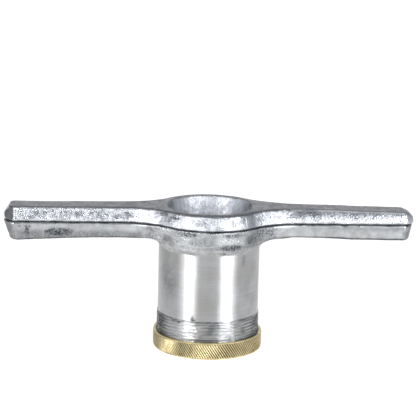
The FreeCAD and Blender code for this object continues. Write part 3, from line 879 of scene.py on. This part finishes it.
def finish_barrel(piece, cast, turned):
    """Dirt and shade in the photograph's places, the materials, and the body that carries it."""
    mesh = piece.data
    points = mesh_points(mesh)
    up = mesh_normals(mesh)[:, 2]
    upright = step_up(np.abs(up), 0.95, 0.8)
    radius = np.hypot(points[:, 0], points[:, 1])
    height = points[:, 2]
    in_thread = step_up(height, THREAD_TOP + 0.9 * MM, THREAD_TOP - 0.2 * MM)
    groove = in_thread * step_up(radius, BARREL_R + 0.35 * MM, BARREL_R - 0.1 * MM)
    # The thread is darker towards its left and right.
    sides = in_thread * step_up(np.abs(points[:, 0]), 0.75 * BARREL_R, 0.97 * BARREL_R)
    # Painted shade in the gap between the two castings.
    parting_gap_shade = step_up(PARTING - height, 1.0 * MM, 0.4 * MM) * (radius > BORE_R + 1 * MM) * upright
    # Painted shade: the left lower grip darker towards its bottom, the right one darker in a band
    # below its top.
    left_low_shade = step_up(height, PARTING - 3.5 * MM, PARTING - 7 * MM)
    left_low_shade *= step_up(-points[:, 0], 36 * MM, 44 * MM)
    right_high_shade = step_up(height, PARTING - 5.5 * MM, PARTING - 1.5 * MM)
    right_high_shade *= step_up(points[:, 0], 44 * MM, 90 * MM)
    on_grip = step_up(np.abs(points[:, 0]), 40 * MM, 48 * MM)
    # Painted shade on the rounded bottom edge of the lower grips.
    lower_edge_shade = step_up(-up, 0.25, 0.5) * step_up(-up, 0.99, 0.95)
    lower_edge_shade *= (height < PARTING - 6 * MM) * on_grip
    # Painted shadow in the crease where the collar meets the turned barrel.
    collar_foot_shadow = step_up(np.abs(height - COLLAR_FOOT), 1.6 * MM, 0.6 * MM)
    collar_foot_shadow *= radius > BARREL_R + 0.1 * MM
    thread_edge = step_up(np.abs(height - THREAD_TOP - 0.2 * MM), 0.9 * MM, 0.35 * MM)
    thread_edge *= radius > BARREL_R - 1 * MM
    thread_edge *= 0.5 + 0.5 * lattice_noise(points, 5 * MM, 47)
    worn_thread = in_thread * np.clip(lattice_noise(points, 4 * MM, 48) * 0.8, 0, 1)
    smudged = np.clip(lattice_noise(points, 6 * MM, 49) * 0.8 + 0.3, 0, 0.8)
    smudged *= (height > 70 * MM) * step_up(np.abs(points[:, 0]), 46 * MM, 36 * MM)
    # Painted highlights: no smudges where the collar is kept lighter.
    for centre, reach in BARREL_PAINTED_HIGHLIGHTS:
        smudged *= 1 - near(points, centre, reach)
    set_attribute(mesh, "shade", np.maximum.reduce([
        parting_gap_shade * 0.9, left_low_shade * 0.25, right_high_shade * 0.3 * upright, lower_edge_shade * 0.85,
        marks(points, BARREL_SHADES),
    ]))
    set_attribute(mesh, "stain_and_shade", np.maximum.reduce([
        groove * 0.2, sides * 0.95, left_low_shade * 0.4, collar_foot_shadow * 0.4, thread_edge, worn_thread,
        smudged, marks(points, BARREL_STAINS_AND_SHADES),
    ]))
    collar = step_up(np.abs(points[:, 0]), 44 * MM, 30 * MM)
    patches = 0.25 * lattice_noise(points, 7 * MM, 45)
    set_attribute(mesh, "rough", np.clip(0.25 + 0.55 * collar + patches, 0, 1))
    centres = face_centres(mesh)
    flat = np.hypot(centres[:, 0], centres[:, 1])
    is_turned = (flat < BARREL_R + 0.04 * MM) & (centres[:, 2] < TUBE_TOP + 0.2 * MM)
    is_turned |= flat < BORE_R + 1 * MM
    is_turned |= centres[:, 2] < THREAD_TOP + 2 * MM
    assign(mesh, cast, turned, is_turned)
    smooth_shading(mesh, 35)
    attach(piece, "barrel")
    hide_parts("barrel")


def face_centres(mesh):
    centres = np.empty(len(mesh.polygons) * 3, np.float32)
    mesh.polygons.foreach_get("center", centres)
    return centres.reshape(-1, 3)


def assign(mesh, first, second, is_second):
    mesh.materials.clear()
    mesh.materials.append(first)
    mesh.materials.append(second)
    mesh.polygons.foreach_set("material_index", is_second.astype(np.int32))


# Plunger


PLUNGER_CUT = 72 * MM  # above it the plunger is a casting, below it a turned cup
PLUNGER_VOXEL = 0.55 * MM
CUP_FLOOR = 11.5 * MM
CUP_R = 22.55 * MM
CUP_THROAT_R = 23.95 * MM
CUP_CORNER = 3 * MM
CUP_CONE = 0.228  # how fast the cup narrows below its mouth

# Stains, and painted shade below the left grip's top edge and at the cup's ends near its mouth.
PLUNGER_STAINS_AND_SHADES = (
    ((-48.4, -9.9, 83.3), (3, 4, 1.3), 0.9),
    (front(-57, 35.2, 86.6), (4.5, 7, 1.7), 0.9),
    (front(-43, 35.5, 85.4), (7, 8, 1.6), 0.9),
    ((-40.4, 6.5, 88), (2.6, 3.4, 3), 0.7),
    ((43.2, 8.8, 88), (2.6, 3.4, 3), 0.7),
    # Painted shadow at the cup's ends near its mouth.
    ((-22.6, 10.5, 86.6), (3.2, 5, 3.0), 0.45),
    ((24.2, 6.5, 86.6), (3.2, 5, 3.0), 0.45),
)
# Darker below the left grip's top edge: a smudge, and painted shade below the rounding.
PLUNGER_SMUDGES_AND_SHADES = (
    (front(-57, 35.2, 86.6), (4, 7, 1.6), 0.55),
    (front(-43, 35.5, 85.4), (7, 8, 1.5), 0.55),
)
# Painted shadow at both ends of the cup's inside.
CUP_ENDS = (((-24, 6, 84), (9, 13, 9), 0.4), ((24, 6, 84), (9, 13, 9), 0.4))


def turned_stem():
    """Plunger's turned outside and the rough cup inside it."""
    shell = Shell()
    turn = columns(240)
    lead = 0.8 * MM
    joint = PLUNGER_CUT + 0.5 * MM
    inset = 0.8 * MM
    outside = [(STEM_R + 0.005 * MM, h) for h in rising(STEM_FOOT + lead, joint, 4 * MM)]
    wall_slope = (CUP_THROAT_R - CUP_R) / (PARTING - CUP_FLOOR)

    def cup_radius(height):
        return CUP_R + wall_slope * (height - CUP_FLOOR) - 0.01 * MM

    shell.lid(circle(STEM_R - lead, STEM_FOOT, turn))
    shell.band(section([
        (STEM_R - lead, STEM_FOOT), *outside,
        (STEM_R - inset, joint + 0.3 * MM), (STEM_R - inset, joint + 1.5 * MM),
        (cup_radius(joint) + inset, joint + 1.5 * MM),
        (cup_radius(joint) + inset, joint + 0.3 * MM),
        (cup_radius(joint), joint),
    ], turn))
    wall = [(cup_radius(h), h) for h in rising(joint, CUP_FLOOR + CUP_CORNER, 1.5 * MM)]
    foot_r = cup_radius(CUP_FLOOR)
    corner = [
        (foot_r - CUP_CORNER * (1 - math.cos(a)), CUP_FLOOR + CUP_CORNER * (1 - math.sin(a)))
        for a in np.radians([15, 30, 45, 60, 75, 90])
    ]
    floor = [(CUP_R - CUP_CORNER - step * 1.95 * MM, CUP_FLOOR) for step in range(1, 10)]
    points = section([*wall, *corner, *floor], turn)
    listed = points.reshape(-1, 3)
    inward = np.where(np.arange(len(points)) < len(wall), 1.0, 0.0)[:, None] * np.ones(len(turn))
    uneven = lattice_noise(listed, 6 * MM, 61) * 0.10 + lattice_noise(listed, 2.2 * MM, 62) * 0.05
    uneven = (uneven * MM).reshape(points.shape[:2])
    uneven[0] = 0
    points[..., 0] *= 1 + uneven * inward / CUP_R
    points[..., 1] *= 1 + uneven * inward / CUP_R
    points[..., 2] += uneven * (1 - inward)
    shell.band(points)
    shell.lid(points[-1])
    return shell.made("turned_stem")


# A point of the flat that was filed on the left tip's front corner, and the flat's direction out.
TIP_FILED = np.array((-118.5, -10.4, 84.0)) * MM
LEFT_FACET = np.array((-0.70, -0.70, 0.14)) / np.linalg.norm((-0.70, -0.70, 0.14))


def file_flat(points, out, place):
    """Points beyond a plane moved back onto it."""
    beyond = np.maximum(0, (points - place) @ out)
    return points - beyond[:, None] * out


def make_plunger(cast, turned):
    """Rough casting with worn grips, a filed tip and the cup's mouth, joined to the turned stem."""
    piece = casting("plunger", "plunger_body", PLUNGER_CUT, PLUNGER_VOXEL)
    mesh = piece.data
    points = mesh_points(mesh)
    normals = mesh_normals(mesh)
    radius = np.hypot(points[:, 0], points[:, 1])
    stem = (np.abs(radius - STEM_R) < 0.12 * MM) & (points[:, 2] < PARTING - 0.05 * MM)
    low_cup = (radius < STEM_R) & (points[:, 2] < PLUNGER_CUT + 1 * MM)
    underside = np.abs(points[:, 2] - PARTING) < 0.05 * MM
    exact = (stem | low_cup).astype(float)
    points = rounded_tops(drawn_in(points, worn_sides(points)), normals)
    points = roughened(points, normals, exact, 50, 0.12)
    points[underside, 2] = PARTING
    points = file_flat(points, LEFT_FACET, TIP_FILED)
    cone = np.clip(PARTING - points[:, 2], 0, None) * CUP_CONE
    cone *= step_up(points[:, 2], PLUNGER_CUT + 1.2 * MM, PLUNGER_CUT + 4.5 * MM)
    cone *= radius < STEM_R - 1 * MM
    scale = np.where(stem, STEM_R / radius, 1 - cone / radius)
    points[:, 0] *= scale
    points[:, 1] *= scale
    set_points(mesh, points)
    combine(piece, turned_stem(), "UNION")
    finish_plunger(piece, cast, turned)


def finish_plunger(piece, cast, turned):
    """Dirt and shade in the photograph's places, the materials, and the body that carries it."""
    mesh = piece.data
    points = mesh_points(mesh)
    normals = mesh_normals(mesh)
    outside = np.hypot(points[:, 0], points[:, 1]) > STEM_R
    upright = step_up(np.abs(normals[:, 2]), 0.95, 0.8)
    # Painted shade in the gap between the two castings.
    parting_gap_shade = step_up(points[:, 2] - PARTING, 1.0 * MM, 0.4 * MM) * outside * upright
    # Painted shade along the rounded top edge of the upper casting.
    top_edge_shade = step_up(points[:, 2] - normals[:, 2] * 0.4 * MM, TOP - 1.4 * MM, TOP - 1.0 * MM)
    top_edge_shade = top_edge_shade * step_up(np.abs(normals[:, 2] - 0.6), 0.35, 0.1) * outside
    set_attribute(mesh, "stain_and_shade", np.maximum(marks(points, PLUNGER_STAINS_AND_SHADES), top_edge_shade * 0.8))
    sides = 1 - step_up(normals[:, 2], 0.5, 0.8)
    in_cup = np.hypot(points[:, 0], points[:, 1]) < STEM_R - 0.5 * MM
    # The filed flat on the left tip is smoother and gets painted shade.
    filed = step_up((points - TIP_FILED) @ LEFT_FACET, -0.15 * MM, -0.03 * MM)
    filed *= points[:, 0] < -100 * MM
    # Painted shade in patches: on the collar's front, in a band across the left grip's front, and
    # where the right grip starts.
    collar = step_up(np.abs(points[:, 0]), 48 * MM, 30 * MM)
    mottled = np.clip(lattice_noise(points, 3 * MM, 58) * 0.6 + 0.15, 0, 0.45) * collar
    left_band = between(points[:, 0], -110, -50, 12) * between(points[:, 2], 82, 85, 1.5)
    right_start = between(points[:, 0], 40, 62, 10) * step_up(points[:, 2], 80 * MM, 84 * MM)
    wear_and_shade_noise = np.clip(lattice_noise(points, 2.2 * MM, 59) * 0.45 + 0.3, 0, 0.7)
    wear_and_shade_noise *= 1 - 0.25 * (points[:, 0] > 0)
    mottled = np.maximum(mottled, wear_and_shade_noise * np.maximum(left_band, right_start)) * sides * outside
    # Painted shade on the top's front strip before the cup.
    front_rim_shade = step_up(normals[:, 2], 0.7, 0.9) * step_up(-points[:, 1], 12 * MM, 24 * MM)
    front_rim_shade *= 0.35 * step_up(np.abs(points[:, 0]), 38 * MM, 26 * MM)
    # Painted shade on the flat tops.
    top = step_up(normals[:, 2], 0.6, 0.95) * (points[:, 2] > PARTING + 4 * MM)
    set_attribute(mesh, "shade", np.maximum.reduce([
        parting_gap_shade * 0.9, filed * 0.72, marks(points, CUP_ENDS) * ~outside, mottled,
        marks(points, PLUNGER_SMUDGES_AND_SHADES), top * 0.66 + front_rim_shade * 0.4,
    ]))
    right = step_up(points[:, 0], 32 * MM, 46 * MM)
    set_attribute(mesh, "rough", sides * (1 - 0.5 * in_cup - 0.4 * right) * (1 - 0.9 * filed))
    # The cup's inside, and less the collar, are duller and also painted paler as painted light.
    set_attribute(mesh, "matt_and_painted_light", np.maximum(in_cup, 0.4 * collar) * sides)
    centres = face_centres(mesh)
    flat = np.hypot(centres[:, 0], centres[:, 1])
    is_turned = (np.abs(flat - STEM_R) < 0.1 * MM) & (centres[:, 2] < PARTING)
    is_turned |= centres[:, 2] < STEM_FOOT + 1 * MM
    assign(mesh, cast, turned, is_turned)
    smooth_shading(mesh, 35)
    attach(piece, "plunger")
    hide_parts("plunger")


# Ring and plate


KNURLS = 135
KNURL_COLUMNS = 8  # mesh columns for each knurl
KNURL_SLOPE = 56
KNURL_DEPTH = 0.42 * MM
CROSS_DEPTH = 0.05 * MM  # faint knurls that lean more
BAND_R = RING_R - 0.25 * MM
TOP_BAND = 0.9 * MM
FOOT_BAND = 0.5 * MM
MOUTH_R = 32.0 * MM
THREAD_SHARE = 5  # outside columns for each column of the thread
# The ring is darker on its front left.
RING_LEFT_DARKER = ((front(-52, 33.7, 5), (20, 22, 9), 0.3),)


def make_ring(brass):
    """Ring nut with leaning knurls outside, and its thread, lip and opening inside."""
    shell = Shell()
    lean = -1 / (RING_R * math.tan(math.radians(KNURL_SLOPE)))
    base = columns(KNURLS * KNURL_COLUMNS)

    def leaning(height):
        return base + lean * height

    knurl_foot = EDGE + FOOT_BAND
    knurl_top = RING_TOP - TOP_BAND - 0.15 * MM
    rows = rising(knurl_foot, knurl_top, 0.4 * MM)
    outside = []
    for height in rows:
        turn = leaning(height)
        ridge = 0.5 + 0.5 * np.cos(base * KNURLS)
        cross = 0.5 + 0.5 * np.cos((turn + lean * height) * KNURLS)
        plain = circle(RING_R, height, turn)
        wear = 0.75 + 0.25 * lattice_noise(plain, 9 * MM, 71)
        depth = (ridge ** 1.5 * KNURL_DEPTH + cross ** 2 * CROSS_DEPTH) * wear
        outside.append(circle(RING_R - depth, height, turn))
    shell.band(np.stack([
        circle(RING_R - EDGE, 0.0, leaning(0)), circle(BAND_R, EDGE - 0.25 * MM, leaning(EDGE)),
        circle(BAND_R, knurl_foot - 0.1 * MM, leaning(knurl_foot)), *outside,
        circle(BAND_R, knurl_top + 0.1 * MM, leaning(knurl_top)),
        circle(BAND_R, RING_TOP - 0.2 * MM, leaning(RING_TOP)),
        circle(BAND_R - 0.25 * MM, RING_TOP, leaning(RING_TOP)),
    ]))
    few = columns(len(base) // THREAD_SHARE)
    top = few + lean * RING_TOP
    heights, turn_rows = helical_places(LIP, RING_TOP, top)
    depth = thread_depth(top[None, :], heights)
    radius = RING_ROOT_R - (CREST_R - ROOT_R) + depth
    radius = np.maximum(radius, MOUTH_R - (RING_TOP - heights))
    shell.helix(circle(radius, heights, np.broadcast_to(top, heights.shape)), turn_rows)
    mouth = circle(MOUTH_R, RING_TOP, top)
    shell.washer(circle(BAND_R - 0.25 * MM, RING_TOP, leaning(RING_TOP)), mouth)
    foot_radius = RING_ROOT_R - (CREST_R - ROOT_R) + thread_depth(top, np.full(len(top), LIP))
    shell.band(np.stack([
        circle(foot_radius, LIP, top), circle(OPENING_R + 0.2 * MM, LIP, top),
        circle(OPENING_R, LIP - 0.2 * MM, top), circle(OPENING_R, 0.2 * MM, top),
        circle(OPENING_R + 0.2 * MM, 0.0, top),
    ]))
    shell.washer(circle(RING_R - EDGE, 0.0, leaning(0)), circle(OPENING_R + 0.2 * MM, 0.0, top))
    piece = shell.made("ring_body")
    mesh = piece.data
    points = mesh_points(mesh)
    radius = np.hypot(points[:, 0], points[:, 1])
    hollow = step_up(radius, RING_R - 0.06 * MM, RING_R - 0.7 * KNURL_DEPTH)
    in_wall = (points[:, 2] > knurl_foot) & (points[:, 2] < knurl_top)
    in_wall &= radius > RING_R - 0.6 * MM
    set_attribute(mesh, "stain_and_shade", np.maximum(hollow * in_wall, marks(points, RING_LEFT_DARKER)))
    mesh.materials.append(brass)
    smooth_shading(mesh, 30)
    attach(piece, "ring")
    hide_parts("retaining_ring")


def dress_plate(brass):
    """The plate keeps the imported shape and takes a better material."""
    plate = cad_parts["die_plate"]
    plate.data.materials.clear()
    plate.data.materials.append(brass)


# The scene


def main():
    scene = bpy.context.scene
    scene.view_settings.view_transform = "Standard"
    make_camera()
    make_world()
    make_floor()
    for part, *extent in SOFTBOX_PARTS:
        for side, *box in SOFTBOXES:
            make_softbox(f"softbox_{side}_{part}", *box, *extent)
    turned = turned_aluminium()
    make_barrel(cast_aluminium("barrel_cast", (0.53, 0.545, 0.57), (0.41, 0.42, 0.435)), turned)
    make_plunger(cast_aluminium("plunger_cast", (0.66, 0.68, 0.73), (0.52, 0.54, 0.585)), turned)
    make_ring(dull_brass("ring_brass_knurled", 1.0))
    dress_plate(dull_brass("plate_brass_rolled", 0.0))


main()
